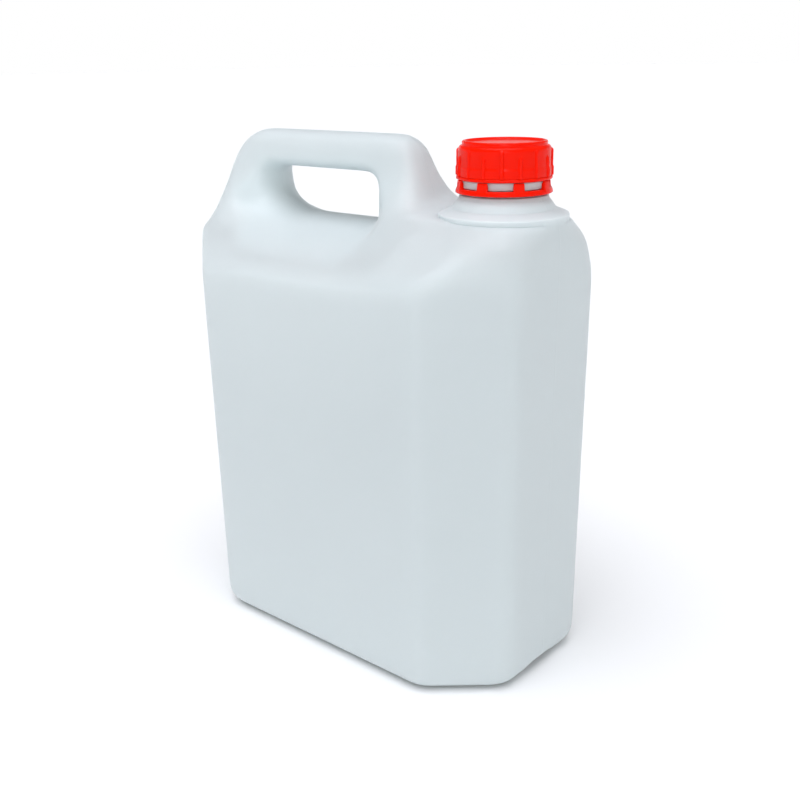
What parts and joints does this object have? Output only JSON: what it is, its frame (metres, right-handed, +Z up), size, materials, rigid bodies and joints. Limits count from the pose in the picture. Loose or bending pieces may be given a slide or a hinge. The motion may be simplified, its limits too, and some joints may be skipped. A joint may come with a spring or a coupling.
{
  "type": "plastic jerrycan",
  "caption": "Blow-moulded plastic jerrycan with chamfered corners, a hollow moulded handle, a narrow screw neck and a ribbed screw cap over a tamper band.",
  "frame": {"origin": "centre of the bounding box on the plane the can stands on", "axes": "+X from the handle's rear leg towards the neck, +Y towards the hidden wide face, +Z up"},
  "size_m": [0.216, 0.127, 0.269],
  "materials": {
    "can_hdpe": "satin",
    "cap_red": "gloss",
    "seal_foam": "matte"
  },
  "bodies": {
    "can": {"can_body": "can_hdpe", "tamper_band": "cap_red"},
    "liner": {"seal_liner": "seal_foam"},
    "cap": {"cap": "cap_red"}
  },
  "joints": [
    {"name": "cap_lift", "type": "slide", "parent": "can", "child": "liner", "axis": [0, 0, 1], "range_m": [0, 0.0161]},
    {"name": "cap_turn", "type": "hinge", "parent": "liner", "child": "cap", "pos_m": [0.0764, 0, 0.2508], "axis": [0, 0, 1], "range_deg": [0, 1440]}
  ],
  "couplings": [
    {"joint": "cap_lift", "follows": "cap_turn", "m_per_rad": 0.00063662}
  ]
}
